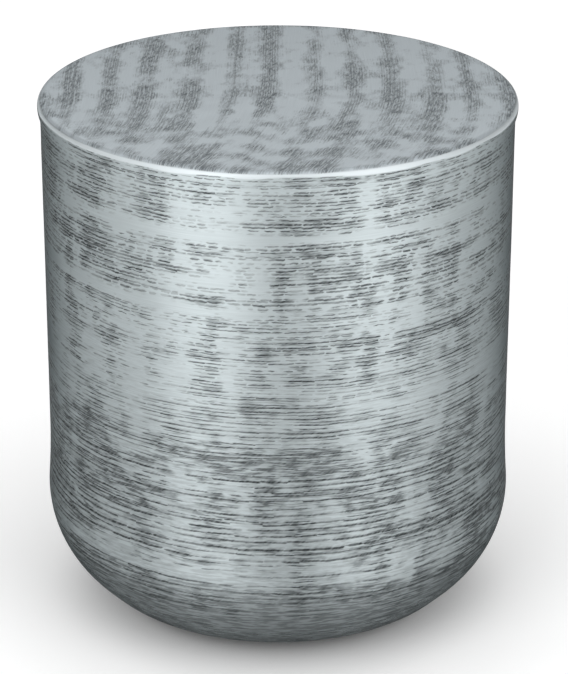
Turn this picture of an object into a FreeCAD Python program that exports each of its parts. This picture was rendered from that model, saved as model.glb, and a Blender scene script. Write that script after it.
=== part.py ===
import FreeCAD, Part
import math
import os

# Drum side table: a hollow drum of rolled and spun aluminium sheet, with a flat spun top, a plain
# round wall and a spun bowl for its underside, standing on four levelling glides.
# Millimetres, +Z up. The origin is on the floor, at the middle of the drum.

# Drum, outside
overall_height = 457.0
wall_diameter = 401.4
rim_stand = 2.3           # how far the rim stands proud of the wall
rim_roll = 6.5            # outside radius of the rolled edge of the top
rim_ease = 13.5           # height over which the rim eases back to the wall
cap_skirt = 12.0          # straight skirt of the top, below the ease
shoulder_stand = 2.3      # how far the bowl's shoulder stands proud of the wall
shoulder_flare = 60.0     # height over which the bowl swells to its widest
shoulder_radius = 99.0
bowl_collar = 15.0        # straight stretch of the bowl, above its swell
cone_angle = 44.4         # slope of the bowl's straight flank, from level
cone_length = 13.2
toe_radius = 45.0
base_flange = 32.0        # width of the flat ring round the opening in the base
sheet = 1.5
seam_gap = 0.3            # open butt of the rolled wall, at the back

# Backing pieces inside the butt joints
bond_gap = 0.15
band_height = 30.0
band_sheet = 1.5
strip_width = 25.0
strip_sheet = 1.2
strip_end_gap = 0.5
ring_leg = 30.0
ring_shelf = 20.0
ring_sheet = 2.0

# Boards and felt
top_board_thickness = 15.0
top_board_clearance = 0.5
base_board_thickness = 15.0
base_board_inset = 2.0
felt_thickness = 1.2
felt_inset = 1.0

# Pan-head wood screws
screw_diameter = 4.0
screw_head_diameter = 8.0
screw_head_height = 2.6
screw_hole_clearance = 0.25
screw_cover = 3.0         # wood left beyond the screw's point
screw_point = 3.0
recess_length = 4.4
recess_width = 0.9
recess_depth = 1.3
ring_screw_count = 8
base_screw_count = 8

# Tee nuts in the base board
tee_flange_diameter = 22.0
tee_flange_height = 1.6
tee_barrel_diameter = 10.0
tee_barrel_cover = 4.0    # wood left below the barrel
tee_barrel_clearance = 0.1

# Levelling glides
glide_count = 4
glide_travel = 10.0
stem_diameter = 8.0
stem_point = 1.0
stem_hole_clearance = 0.5
collar_across_flats = 13.0
collar_height = 4.0
neck_diameter = 6.0
head_diameter = 10.0
head_height = 2.1
pad_diameter = 30.0
pad_height = 5.0
pad_sole = 1.4
pad_chamfer = 1.0
run_clearance = 0.05      # between the stem and what it turns in

# Radii of the drum's outside and inside
wall_radius = wall_diameter / 2
wall_inside = wall_radius - sheet
rim_radius = wall_radius + rim_stand
shoulder_outside = wall_radius + shoulder_stand
slope = math.radians(cone_angle)
base_radius = (shoulder_outside - shoulder_radius * (1 - math.sin(slope))
               - cone_length * math.cos(slope) - toe_radius * math.sin(slope))
opening_radius = base_radius - base_flange
glide_circle = base_radius - base_flange / 2

# Heights, from the floor up
base_bottom = pad_height + collar_height
base_top = base_bottom + sheet
shoulder_height = (base_bottom + toe_radius * (1 - math.cos(slope))
                   + cone_length * math.sin(slope) + shoulder_radius * math.cos(slope))
bowl_joint = shoulder_height + shoulder_flare + bowl_collar
cap_joint = overall_height - rim_roll - rim_ease - cap_skirt
top_board_top = overall_height - sheet
top_board_bottom = top_board_top - top_board_thickness
base_board_top = base_top + base_board_thickness
tee_top = base_board_top + tee_flange_height

# What the backing pieces and the boards take from the drum
backing_radius = wall_inside - bond_gap
ring_bottom = top_board_bottom - ring_leg
ring_screw_circle = backing_radius - ring_shelf / 2
top_board_radius = rim_radius - rim_roll - top_board_clearance
base_board_radius = base_radius - base_board_inset
screw_hole_radius = screw_diameter / 2 + screw_hole_clearance

DOWN = -90.0
OUTWARD = 0.0
BACK = 90.0
Z_AXIS = FreeCAD.Vector(0, 0, 1)
ORIGIN = FreeCAD.Vector(0, 0, 0)


def at(radius, height):
    """A point of a section, in the plane through the drum's axis."""
    return FreeCAD.Vector(radius, 0, height)


def run(length):
    """A straight stretch of a bent sheet."""
    return ("run", length, 0.0)


def bend(radius, sweep):
    """A tangent arc of a bent sheet, of that outside radius; a negative sweep turns right."""
    return ("bend", radius, sweep)


def s_bend(shift, height):
    """Two equal arcs that carry a sheet sideways by shift, to the left, and on by height."""
    radius = (height ** 2 + shift ** 2) / (4 * abs(shift))
    sweep = math.degrees(2 * math.atan(shift / height))
    return [bend(radius, sweep), bend(radius, -sweep)]


def sheet_line(start, heading, moves, inset):
    """The edges of one face of a bent sheet, inset to the right of its outside."""
    angle = math.radians(heading)
    point = at(start[0] + inset * math.sin(angle), start[1] - inset * math.cos(angle))
    edges = []
    for kind, size, sweep in moves:
        if kind == "run":
            end = point + at(size * math.cos(angle), size * math.sin(angle))
            edges.append(Part.LineSegment(point, end).toShape())
        else:
            side = math.copysign(1.0, sweep)
            radius = size + side * inset
            centre = point + at(-side * radius * math.sin(angle), side * radius * math.cos(angle))
            spoke = point - centre
            middle, end = (centre + turned(spoke, share * sweep) for share in (0.5, 1.0))
            edges.append(Part.Arc(point, middle, end).toShape())
            angle += math.radians(sweep)
        point = end
    return edges, point


def turned(spoke, degrees):
    """A spoke of a section turned by an angle, from outward towards up."""
    angle = math.radians(degrees)
    return at(spoke.x * math.cos(angle) - spoke.z * math.sin(angle),
              spoke.x * math.sin(angle) + spoke.z * math.cos(angle))


def bent_sheet(start, heading, moves):
    """The section of a sheet whose outside follows the moves."""
    outside, outside_end = sheet_line(start, heading, moves, 0.0)
    inside, inside_end = sheet_line(start, heading, moves, sheet)
    first = Part.LineSegment(outside[0].firstVertex().Point, inside[0].firstVertex().Point)
    last = Part.LineSegment(outside_end, inside_end)
    edges = outside + inside + [first.toShape(), last.toShape()]
    return Part.Face(Part.Wire(Part.__sortEdges__(edges)))


def spun(section, sweep=360.0):
    """A section carried round the drum's axis."""
    return section.revolve(ORIGIN, Z_AXIS, sweep)


def lathe(points):
    """A solid turned from a closed outline of (radius, height) points."""
    outline = [at(radius, height) for radius, height in points]
    return spun(Part.Face(Part.makePolygon(outline + outline[:1])))


def disc(radius, bottom, top):
    return Part.makeCylinder(radius, top - bottom, at(0, bottom))


def ring(outside, inside, bottom, top):
    return disc(outside, bottom, top).cut(disc(inside, bottom, top))


def round_circle(radius, count, first):
    """Evenly spaced places on a circle about the drum's axis."""
    angles = [math.radians(first + 360.0 * step / count) for step in range(count)]
    return [FreeCAD.Vector(radius * math.cos(a), radius * math.sin(a), 0) for a in angles]


def placed(shape, places):
    return [shape.translated(place) for place in places]


def bored(shape, radius, places):
    """A shape with upright through holes at the places."""
    drill = disc(radius, 0.0, overall_height)
    return shape.cut(placed(drill, places))


glide_places = round_circle(glide_circle, glide_count, 180.0 / glide_count)
base_screw_places = round_circle(glide_circle, base_screw_count, 180.0 / base_screw_count)
ring_screw_places = round_circle(ring_screw_circle, ring_screw_count, 180.0 / ring_screw_count)


def top_plate():
    """Spun cap: flat top, rolled edge, an ease back to the wall and a short skirt."""
    moves = [run(rim_radius - rim_roll), bend(rim_roll, -90.0)]
    moves += s_bend(-rim_stand, rim_ease)
    moves.append(run(cap_skirt))
    return spun(bent_sheet((0.0, overall_height), OUTWARD, moves))


def side_wall():
    """Rolled sheet between the cap and the bowl, with its butt at the back."""
    section = bent_sheet((wall_radius, cap_joint), DOWN, [run(cap_joint - bowl_joint)])
    gap_angle = math.degrees(seam_gap / wall_radius)
    section.rotate(ORIGIN, Z_AXIS, BACK + gap_angle / 2)
    return spun(section, 360.0 - gap_angle)


def base_bowl():
    """Spun bowl: straight collar, swelling shoulder, flank, toe and flat base ring."""
    lean = 2 * math.atan(shoulder_stand / shoulder_flare)
    swell_radius = shoulder_flare / math.sin(lean) - shoulder_radius
    swell = math.degrees(lean)
    moves = [run(bowl_collar), bend(swell_radius, swell)]
    moves += [bend(shoulder_radius, cone_angle - 90.0 - swell), run(cone_length)]
    moves += [bend(toe_radius, -cone_angle), run(base_flange)]
    bowl = spun(bent_sheet((wall_radius, bowl_joint), DOWN, moves))
    bowl = bored(bowl, screw_hole_radius, base_screw_places)
    return bored(bowl, stem_diameter / 2 + stem_hole_clearance, glide_places)


def joint_band():
    """Band behind the butt of the wall on the bowl."""
    half = band_height / 2
    return ring(backing_radius, backing_radius - band_sheet, bowl_joint - half, bowl_joint + half)


def seam_strip():
    """Strip behind the upright butt of the wall, between the band and the angle ring."""
    bottom = bowl_joint + band_height / 2 + strip_end_gap
    top = ring_bottom - strip_end_gap
    outline = [at(backing_radius - strip_sheet, bottom), at(backing_radius, bottom),
               at(backing_radius, top), at(backing_radius - strip_sheet, top)]
    section = Part.Face(Part.makePolygon(outline + outline[:1]))
    sweep = math.degrees(strip_width / backing_radius)
    section.rotate(ORIGIN, Z_AXIS, BACK - sweep / 2)
    return spun(section, sweep)


def angle_ring():
    """Rolled angle behind the butt of the cap on the wall; its shelf carries the top board."""
    shelf_inside = backing_radius - ring_shelf
    shelf_bottom = top_board_bottom - ring_sheet
    leg_inside = backing_radius - ring_sheet
    angle = lathe([(shelf_inside, top_board_bottom), (backing_radius, top_board_bottom),
                   (backing_radius, ring_bottom), (leg_inside, ring_bottom),
                   (leg_inside, shelf_bottom), (shelf_inside, shelf_bottom)])
    return bored(angle, screw_hole_radius, ring_screw_places)


def wood_screw(seat, grip, board):
    """Pan-head screw driven upwards: head below seat, through grip and into a board."""
    length = grip + board - screw_cover
    shank = disc(screw_diameter / 2, seat, seat + length - screw_point)
    point = Part.makeCone(screw_diameter / 2, 0.0, screw_point, at(0, seat + length - screw_point))
    head = disc(screw_head_diameter / 2, seat - screw_head_height, seat)
    screw = head.fuse([shank, point]).removeSplitter()
    slot = Part.makeBox(recess_length, recess_width, recess_depth)
    slot.translate(FreeCAD.Vector(-recess_length / 2, -recess_width / 2, seat - screw_head_height))
    crossed = slot.copy()
    crossed.rotate(ORIGIN, Z_AXIS, 90.0)
    return screw.cut([slot, crossed])


top_screw = wood_screw(top_board_bottom - ring_sheet, ring_sheet, top_board_thickness)
base_screw = wood_screw(base_bottom, sheet, base_board_thickness)


def top_board():
    """Board under the flat of the top, screwed up from the angle ring."""
    board = disc(top_board_radius, top_board_bottom, top_board_top)
    return board.cut(placed(screw_hole(top_board_bottom, top_board_thickness), ring_screw_places))


def base_board():
    """Board on the bowl's flat ring; it holds the tee nuts."""
    board = disc(base_board_radius, base_top, base_board_top)
    board = board.cut(placed(screw_hole(base_top, base_board_thickness), base_screw_places))
    return bored(board, tee_barrel_diameter / 2 + tee_barrel_clearance, glide_places)


def screw_hole(board_bottom, board):
    """The hole that a screw cuts for itself in a board."""
    length = board - screw_cover - screw_point
    hole = disc(screw_diameter / 2, board_bottom, board_bottom + length)
    return hole.fuse(Part.makeCone(screw_diameter / 2, 0.0, screw_point, at(0, board_bottom + length)))


def base_felt():
    """Felt disc on the board, inside the opening of the base."""
    return disc(opening_radius - felt_inset, base_top - felt_thickness, base_top)


def tee_nut():
    """Flange on the board and a barrel down into it, bored for the stem."""
    flange = disc(tee_flange_diameter / 2, base_board_top, tee_top)
    barrel = disc(tee_barrel_diameter / 2, base_top + tee_barrel_cover, base_board_top)
    body = flange.fuse(barrel).removeSplitter()
    return body.cut(disc(stem_diameter / 2 + run_clearance, base_top, tee_top))


def glide_stem():
    """Stem with a hexagon collar under the drum and a head that turns in the pad."""
    head_bottom = pad_sole + run_clearance
    head_top = head_bottom + head_height
    stem_top = tee_top + glide_travel
    shaft = lathe([(0.0, head_bottom), (head_diameter / 2, head_bottom),
                   (head_diameter / 2, head_top), (neck_diameter / 2, head_top),
                   (neck_diameter / 2, pad_height + collar_height / 2),
                   (stem_diameter / 2, pad_height + collar_height / 2),
                   (stem_diameter / 2, stem_top - stem_point),
                   (stem_diameter / 2 - stem_point, stem_top), (0.0, stem_top)])
    corner_radius = collar_across_flats / math.sqrt(3.0)
    corners = [place + at(0, pad_height) for place in round_circle(corner_radius, 6, 0.0)]
    collar = Part.Face(Part.makePolygon(corners + corners[:1])).extrude(at(0, collar_height))
    return shaft.fuse(collar).removeSplitter()


def glide_pad():
    """Round foot with a socket that traps the stem's head."""
    radius = pad_diameter / 2
    socket_radius = head_diameter / 2 + run_clearance
    socket_top = pad_sole + head_height + 2 * run_clearance
    mouth_radius = neck_diameter / 2 + run_clearance
    return lathe([(0.0, 0.0), (radius - pad_chamfer, 0.0), (radius, pad_chamfer),
                  (radius, pad_height - pad_chamfer), (radius - pad_chamfer, pad_height),
                  (mouth_radius, pad_height), (mouth_radius, socket_top),
                  (socket_radius, socket_top), (socket_radius, pad_sole), (0.0, pad_sole)])


nodes = {
    "top_plate": top_plate(),
    "side_wall": side_wall(),
    "base_bowl": base_bowl(),
    "joint_band": joint_band(),
    "seam_strip": seam_strip(),
    "angle_ring": angle_ring(),
    "top_board": top_board(),
    "top_board_screws": Part.makeCompound(placed(top_screw, ring_screw_places)),
    "base_board": base_board(),
    "base_screws": Part.makeCompound(placed(base_screw, base_screw_places)),
    "base_felt": base_felt(),
    "tee_nuts": Part.makeCompound(placed(tee_nut(), glide_places)),
}
for number, place in enumerate(glide_places, start=1):
    nodes[f"glide_stem_{number}"] = glide_stem().translated(place)
    nodes[f"glide_pad_{number}"] = glide_pad().translated(place)

os.makedirs("parts", exist_ok=True)
for name, shape in nodes.items():
    if not shape.isValid():
        raise ValueError(f"{name} is not a valid solid")
    shape.exportStep(f"parts/{name}.step")
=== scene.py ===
import math

import bpy
import numpy as np
from bpy.props import FloatProperty, FloatVectorProperty, IntProperty, PointerProperty
from bpy.types import Operator, Panel, PropertyGroup
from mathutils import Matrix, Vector


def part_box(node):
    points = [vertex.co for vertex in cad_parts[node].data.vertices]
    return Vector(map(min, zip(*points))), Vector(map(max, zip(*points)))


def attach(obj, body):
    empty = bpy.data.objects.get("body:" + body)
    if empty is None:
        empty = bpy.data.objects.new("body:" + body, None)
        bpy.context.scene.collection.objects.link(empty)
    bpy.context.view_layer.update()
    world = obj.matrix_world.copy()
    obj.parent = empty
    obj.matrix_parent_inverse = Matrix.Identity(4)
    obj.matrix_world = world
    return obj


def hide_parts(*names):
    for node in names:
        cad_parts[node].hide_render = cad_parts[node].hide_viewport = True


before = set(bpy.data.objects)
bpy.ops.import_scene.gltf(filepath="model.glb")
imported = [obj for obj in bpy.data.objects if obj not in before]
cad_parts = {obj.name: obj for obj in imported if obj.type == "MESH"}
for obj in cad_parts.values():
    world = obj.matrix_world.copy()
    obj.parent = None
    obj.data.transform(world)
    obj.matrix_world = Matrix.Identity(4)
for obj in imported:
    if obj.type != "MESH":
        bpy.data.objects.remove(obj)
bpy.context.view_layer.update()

bl_info = {
    "name": "Scored Drum Side Table",
    "version": (1, 0, 0),
    "blender": (4, 5, 0),
    "location": "View3D > Sidebar > Drum Table",
    "description": "Dresses the packed drum side table: scored metal skins, glides, felt and a studio",
    "category": "Object",
}

# Places read from the frame, in metres
TABLE_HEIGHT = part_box("top_plate")[1].z
CAP_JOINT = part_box("top_plate")[0].z
RIM_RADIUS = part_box("top_plate")[1].x
WALL_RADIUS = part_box("side_wall")[1].x
BOWL_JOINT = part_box("side_wall")[0].z

FULL_TURN = 2 * math.pi
SEAM_ANGLE = math.pi / 2
GLIDES = ("1", "2", "3", "4")
DRUM_INNERS = {
    "mill_aluminium": ("joint_band", "seam_strip", "angle_ring"),
    "fibreboard": ("top_board", "base_board"),
    "zinc_steel": ("top_board_screws", "base_screws", "tee_nuts"),
}

# Heights in metres between which the lines go from close to wide, and their dashes from short to long
WIDER_LINES = (0.255, 0.175)
LONGER_DASHES = (0.34, 0.22)
# Heights and half widths of the rings where the scoring was rubbed clear, in metres
CLEAR_RINGS = ((0.400, 0.0040), (0.337, 0.0050), (0.251, 0.0045), (0.137, 0.0060), (0.098, 0.0040),
               (0.221, 0.0032), (0.182, 0.0036))
# Noises that sum up to the wall's tarnish: cells round the drum, cell height in metres, seed step, weight
WALL_CLOUDS = (
    (73, 0.016, 0, 0.1512),  # blotches
    (131, 0.009, 1, 0.1512),  # smaller blotches
    (223, 0.0058, 5, 0.1176),  # the smallest blotches
    (89, 0.062, 2, 0.26),  # upright columns
    (17, 0.0060, 3, 0.20),  # narrow rings
    (12, 0.060, 4, 0.12),  # slow change
)
# Noises of the top's tarnish: cells along the strokes, cell width in metres, seed step, weight
TOP_CLOUDS = (
    (37, 0.016, 51, 0.24),  # blotches
    (83, 0.007, 52, 0.36),  # small blotches
    (11, 0.050, 54, 0.08),  # slow change
)
# Painted shade that darkens the metal more and more towards the base, most where the bowl turns down to the
# floor, with light scratches lying in it, as shares at heights in metres
SHADE_HEIGHTS = (0.020, 0.042, 0.056, 0.072, 0.085, 0.097, 0.110, 0.165, 0.220, 0.285, 0.370)
SHADE_SHARES = (1.0, 0.91, 0.88, 0.77, 0.55, 0.30, 0.24, 0.21, 0.17, 0.10, 0.0)
# How far down and out on the rim's roll the top's stroke layout goes, for points and for faces, in metres
TOP_POINTS = (0.0036, 0.0057)
TOP_FACES = (0.0030, 0.0053)
# Lengths along the rim's roll between which faces have the rim's own material, in metres
RIM_FACES = (0.0050, 0.0096)
# Lengths over which the buffed band on the rim, lighter and carrying a painted highlight, sets in, and the
# top's tarnish ends there, in metres
BAND_EDGE = 0.0010
TARNISH_EDGE = 0.0008

# How the scoring looks on the wall and on the top. A pair goes from the upper wall to the lower, and the
# top uses its first value. Roughness and metallic start from those of brushed aluminium and are matched to
# the object. A chalky film lies on the top, so less than half of it mirrors.
WALL_LOOK = {
    "dash": (0.0115, 0.026),  # mean length from dash to dash, in metres
    "half": (0.25, 0.155),  # half width of a full dash, in line spacings
    "ink": 1.0,  # darkness of a full dash
    "smudge": 0.80,  # darkness of a full smudge
    "smudge_from": 0.50,  # tarnish from which smudges show
    "smudge_over": 0.44,  # further tarnish over which they fill
    "blots": (50.0, 50.0, 0.50),  # cells of the smudges per metre and per line, so 20 mm long
    "streaks": (60.0, 60.0, 2.6),  # cells of the streaks in them, 17 mm long
    "streaked": 0.25,  # share of a smudge left between its streaks
    "hatched": 0.74,  # share of a smudge left between its hatching
    "roughness": 0.52,
    "metallic": 1.0,
}
TOP_LOOK = {
    "dash": (0.0095, 0.0095), "half": (0.26, 0.26), "ink": 0.90,
    "smudge": 1.0, "smudge_from": 0.16, "smudge_over": 0.76, "blots": (70.0, 70.0, 0.30),
    "streaks": (110.0, 110.0, 1.2), "streaked": 0.36, "hatched": 0.55,
    "roughness": 0.46, "metallic": 0.45,
}
# Anisotropy of the brushed metal and of the polished rim
BRUSHED = 0.85
RIM_BRUSHED = 0.30

# Softboxes: name, place, aim, width and height in metres, and the setting that holds the brightness
SOFTBOXES = (
    ("left_box", (-1.25, -1.85, 1.35), (0, 0, 0.25), 1.7, 1.6, "left"),
    ("right_box", (1.65, -1.75, 1.30), (0, 0, 0.25), 1.9, 1.6, "right"),
    ("overhead_box", (0, -0.35, 2.2), (0, 0, 0.3), 2.8, 2.8, "overhead"),
    ("left_side_box", (-1.85, -0.30, 1.42), (0, 0, 0.45), 0.9, 0.50, "sides"),
    ("right_side_box", (1.85, -0.30, 1.42), (0, 0, 0.45), 0.9, 0.50, "sides"),
    ("back_box", (-0.1, 2.4, 1.7), (0, 0, 0.3), 1.5, 1.0, "back"),
)
FLOOR_HALF = 40
WHITE = (1.0, 1.0, 1.0, 1.0)
# The camera at the photograph's viewing angle: metres, degrees and millimetres of focal length
CAMERA_PLACE = (0.0, -2.3383, 1.2151)
CAMERA_TILT = 67.217
CAMERA_LENS = 154.9
CAMERA_SHIFT = 0.0092


def linear(text):
    """The linear colour of an sRGB hex value, by the sRGB curve."""
    parts = np.array([int(text[i:i + 2], 16) for i in (0, 2, 4)]) / 255
    return tuple(np.where(parts <= 0.04045, parts / 12.92, ((parts + 0.055) / 1.055) ** 2.4))


class DrumSizes(PropertyGroup):
    """Sizes of the drum's sheet line, in the CAD model's own terms."""

    rim_roll: FloatProperty(
        name="Rim roll", description="Outside radius of the rolled rim", default=0.0065, unit="LENGTH")
    rim_ease: FloatProperty(
        name="Rim ease", description="Height over which the rim eases back to the wall", default=0.0135,
        unit="LENGTH")
    bowl_collar: FloatProperty(
        name="Bowl collar", description="Straight collar on top of the bowl", default=0.015, unit="LENGTH")
    shoulder_stand: FloatProperty(
        name="Shoulder stand", description="How far the bowl's shoulder stands out from the wall",
        default=0.0023, unit="LENGTH")
    shoulder_flare: FloatProperty(
        name="Shoulder flare", description="Height over which the wall swells to the shoulder",
        default=0.060, unit="LENGTH")
    shoulder_radius: FloatProperty(
        name="Shoulder radius", description="Radius of the bowl's shoulder", default=0.099, unit="LENGTH")
    cone_angle: FloatProperty(
        name="Flank angle", description="Slope of the bowl's flank above the floor",
        default=math.radians(44.4), subtype="ANGLE")
    cone_length: FloatProperty(
        name="Flank length", description="Length of the bowl's flank", default=0.0132, unit="LENGTH")
    toe_radius: FloatProperty(
        name="Toe radius", description="Radius where the flank turns into the base", default=0.045,
        unit="LENGTH")
    base_flange: FloatProperty(
        name="Base ring", description="Width of the flat ring under the bowl", default=0.032, unit="LENGTH")
    sheet: FloatProperty(
        name="Sheet", description="Thickness of the aluminium sheet", default=0.0015, unit="LENGTH")
    columns: IntProperty(
        name="Columns", description="Grid columns round the drum", default=300, min=60)


class DrumScoring(PropertyGroup):
    """Sizes of the scribed lines and of the hand-worked surface."""

    pitch_high: FloatProperty(
        name="Pitch, upper wall", description="Spacing of the scribed lines on the upper wall",
        default=0.0030, unit="LENGTH")
    pitch_low: FloatProperty(
        name="Pitch, lower wall", description="Spacing of the scribed lines on the lower wall and bowl",
        default=0.0052, unit="LENGTH")
    pitch_top: FloatProperty(
        name="Pitch, top", description="Spacing of the strokes on the top", default=0.0022, unit="LENGTH")
    depth: FloatProperty(
        name="Score depth", description="Depth of a full scribed line", default=0.00010, unit="LENGTH")
    wave: FloatProperty(
        name="Hand wave", description="Height of the slow unevenness of the worked sheet",
        default=0.00025, unit="LENGTH")
    seed: IntProperty(name="Seed", description="Choice of the random pattern", default=11)


class DrumFinish(PropertyGroup):
    """Colours of the drum's metals and of its base."""

    bright: FloatVectorProperty(
        name="Bright metal", description="Rubbed metal between the lines", subtype="COLOR",
        default=linear("d2dbdd"))
    etched: FloatVectorProperty(
        name="Etched metal", description="Darkened metal in the lines", subtype="COLOR",
        default=linear("4b5051"))
    top_bright: FloatVectorProperty(
        name="Top, bright", description="Rubbed metal of the top", subtype="COLOR",
        default=linear("d9e2e7"))
    top_etched: FloatVectorProperty(
        name="Top, etched", description="Darkened strokes of the top", subtype="COLOR",
        default=linear("70777b"))
    # Lighter metal of the buffed rim band, partly a painted highlight
    buffed_highlight_colour: FloatVectorProperty(
        name="Polished rim", description="Metal of the polished rim", subtype="COLOR",
        default=linear("eaf2f5"))
    felt: FloatVectorProperty(
        name="Felt", description="Wool felt under the base", subtype="COLOR", default=linear("26272a"))
    nylon: FloatVectorProperty(
        name="Nylon", description="Moulded nylon of the glide pads", subtype="COLOR",
        default=linear("1d1e20"))


class StudioLight(PropertyGroup):
    """Strengths of the studio's lamps, as the brightness a white card facing them would mirror."""

    left: FloatProperty(name="Left box", description="Brightness of the left softbox", default=2.36)
    right: FloatProperty(name="Right box", description="Brightness of the right softbox", default=2.05)
    overhead: FloatProperty(name="Overhead", description="Brightness of the softbox above", default=0.89)
    back: FloatProperty(name="Back box", description="Brightness of the softbox behind", default=1.6)
    sides: FloatProperty(name="Side boxes", description="Brightness of the boxes at the sides", default=1.8)
    room: FloatProperty(name="Room", description="Brightness of the room's even light", default=0.07)


def turtle(start, heading, moves, inset, step=0.00025):
    """Samples of a sheet's section line, walked move by move in the plane of radius and height.

    A move is (length, turn): the walker goes that far while its heading turns evenly by that angle, so a
    move without turn is straight and one with turn is an arc of radius length / turn. The line is pushed to
    the walker's right by inset. Gives radius, height, heading and walked length, the last two by the line
    before it was pushed.
    """
    place = np.array(start, float)
    walked = 0.0
    rows = []
    for length, turn in moves:
        count = max(int(math.ceil(length / step)), 2)
        part = np.linspace(0.0, 1.0, count + 1)
        angle = heading + turn * part
        if abs(turn) > 1e-9:
            radius = length / turn
            run = radius * (np.sin(angle) - math.sin(heading))
            rise = -radius * (np.cos(angle) - math.cos(heading))
        else:
            run = length * part * math.cos(heading)
            rise = length * part * math.sin(heading)
        line = np.stack([place[0] + run, place[1] + rise, angle, walked + length * part], axis=1)
        rows.append(line if not rows else line[1:])
        place = line[-1, :2]
        heading += turn
        walked += length
    line = np.concatenate(rows)
    line[:, 0] += inset * np.sin(line[:, 2])
    line[:, 1] -= inset * np.cos(line[:, 2])
    return line


def drum_line(sizes, inset=0.0):
    """The drum's outside section, from the middle of the top over the rim and down to the base opening.

    Flat top, rim roll of a quarter turn, an S of two equal arcs that eases the rim back to the wall, the
    straight wall, a long outward arc and a tighter inward arc that make the swelling shoulder, the straight
    flank, the toe and the flat base ring.
    """
    step_in = RIM_RADIUS - WALL_RADIUS
    ease = 2 * math.atan(step_in / sizes.rim_ease)
    ease_radius = sizes.rim_ease / (2 * math.sin(ease))
    lean = 2 * math.atan(sizes.shoulder_stand / sizes.shoulder_flare)
    swell = sizes.shoulder_flare / math.sin(lean) - sizes.shoulder_radius
    drop = math.pi / 2 - sizes.cone_angle + lean
    wall = TABLE_HEIGHT - sizes.rim_roll - sizes.rim_ease - (BOWL_JOINT - sizes.bowl_collar)
    moves = [
        (RIM_RADIUS - sizes.rim_roll, 0.0),
        (sizes.rim_roll * math.pi / 2, -math.pi / 2),
        (ease_radius * ease, -ease),
        (ease_radius * ease, ease),
        (wall, 0.0),
        (swell * lean, lean),
        (sizes.shoulder_radius * drop, -drop),
        (sizes.cone_length, 0.0),
        (sizes.toe_radius * sizes.cone_angle, -sizes.cone_angle),
        (sizes.base_flange, 0.0),
    ]
    return turtle((0.0, TABLE_HEIGHT), 0.0, moves, inset)


def smooth(part):
    """Smoothstep of a share from 0 to 1."""
    return part * part * (3 - 2 * part)


def ramp(value, start, end):
    """Smoothstep from 0 at start to 1 at end."""
    return smooth(np.clip((value - start) / (end - start), 0.0, 1.0))


def bell(value, middle, half, power=2):
    """A bump of height 1 at the middle, e to minus a power of the distance from it in half widths."""
    return np.exp(-((value - middle) / half) ** power)


def cloud(turn, walk, around, pitch, seed):
    """Smooth seeded noise from 0 to 1 that closes round the drum.

    Random heights stand on a lattice of `around` cells round the drum and cells of `pitch` metres along the
    section, and smoothstep weights join the four nearest.
    """
    rows, first_row = 512, 64.0
    lattice = np.random.default_rng(seed).random((rows, around))
    u = np.mod(turn / FULL_TURN, 1.0) * around
    v = walk / pitch + first_row
    iu = np.floor(u).astype(int)
    iv = np.floor(v).astype(int)
    wu = smooth(u - iu)
    wv = smooth(v - iv)
    here = iu % around
    on = (iu + 1) % around
    low = lattice[iv % rows, here] * (1 - wu) + lattice[iv % rows, on] * wu
    high = lattice[(iv + 1) % rows, here] * (1 - wu) + lattice[(iv + 1) % rows, on] * wu
    return low * (1 - wv) + high * wv


class Section:
    """The drum's outside and inside section lines with the count of scribed lines along them."""

    def __init__(self, sizes, scoring):
        self.out = drum_line(sizes)
        self.inner = drum_line(sizes, sizes.sheet)
        self.walk = self.out[:, 3]
        # Lines lie closer on the upper wall, and wider apart from the waist down
        lower = ramp(self.out[:, 1], *WIDER_LINES)
        pitch = scoring.pitch_high + (scoring.pitch_low - scoring.pitch_high) * lower
        steps = np.diff(self.walk) / ((pitch[1:] + pitch[:-1]) / 2)
        self.line = np.concatenate([[0.0], np.cumsum(steps)])
        self.middle = 0.0
        self.rim_start = RIM_RADIUS - sizes.rim_roll
        self.rim_end = self.walk_at_height(TABLE_HEIGHT - sizes.rim_roll - sizes.rim_ease)
        self.cap_end = self.walk_at_height(CAP_JOINT)
        self.bowl_start = self.walk_at_height(BOWL_JOINT)
        self.base_end = float(self.walk[-1])

    def walk_at_height(self, height):
        """Walked length where the outside first comes down to a height."""
        near_wall, past_flat = 0.01, 0.007
        upright = (self.out[:, 0] > WALL_RADIUS - near_wall) & (self.walk > RIM_RADIUS - past_flat)
        order = np.argsort(self.out[upright, 1])
        return float(np.interp(height, self.out[upright, 1][order], self.walk[upright][order]))

    def at(self, walk, inside=False):
        """Radius, height, and outward normal (radius, height) at walked lengths."""
        table = self.inner if inside else self.out
        radius, height, heading = (np.interp(walk, self.walk, table[:, column]) for column in range(3))
        return radius, height, -np.sin(heading), np.cos(heading)

    def rows(self, start, end, per_line=4):
        """Walked lengths from start to end with a fixed number of rows to each scribed line."""
        first, last = np.interp([start, end], self.walk, self.line)
        apart = 0.4  # least gap to the ends, in rows
        marks = np.arange(math.ceil(first * per_line + apart), math.floor(last * per_line - apart) + 1)
        marks = np.concatenate([[first], marks / per_line, [last]])
        return np.interp(marks, self.line, self.walk)

    def cap_rows(self):
        """Walked lengths over the top: even steps on the flat, finer ones on the rim's roll and ease."""
        first, flat_rows, roll_rows = 0.0025, 66, 34
        flat = np.linspace(first, self.rim_start, flat_rows)
        roll = np.linspace(self.rim_start, self.rim_end, roll_rows)
        return np.concatenate([flat, roll[1:]])


def turns(sizes):
    """Angles of the grid columns: even steps, and close pairs at the back for the wall's upright seam."""
    even = np.arange(sizes.columns) * FULL_TURN / sizes.columns
    seam = SEAM_ANGLE + np.array([-0.0006, -0.00015, 0.00015, 0.0006]) / WALL_RADIUS
    clear_angle = 0.004
    even = even[np.abs(even - SEAM_ANGLE) > clear_angle]
    return np.sort(np.concatenate([even, seam]))


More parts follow.
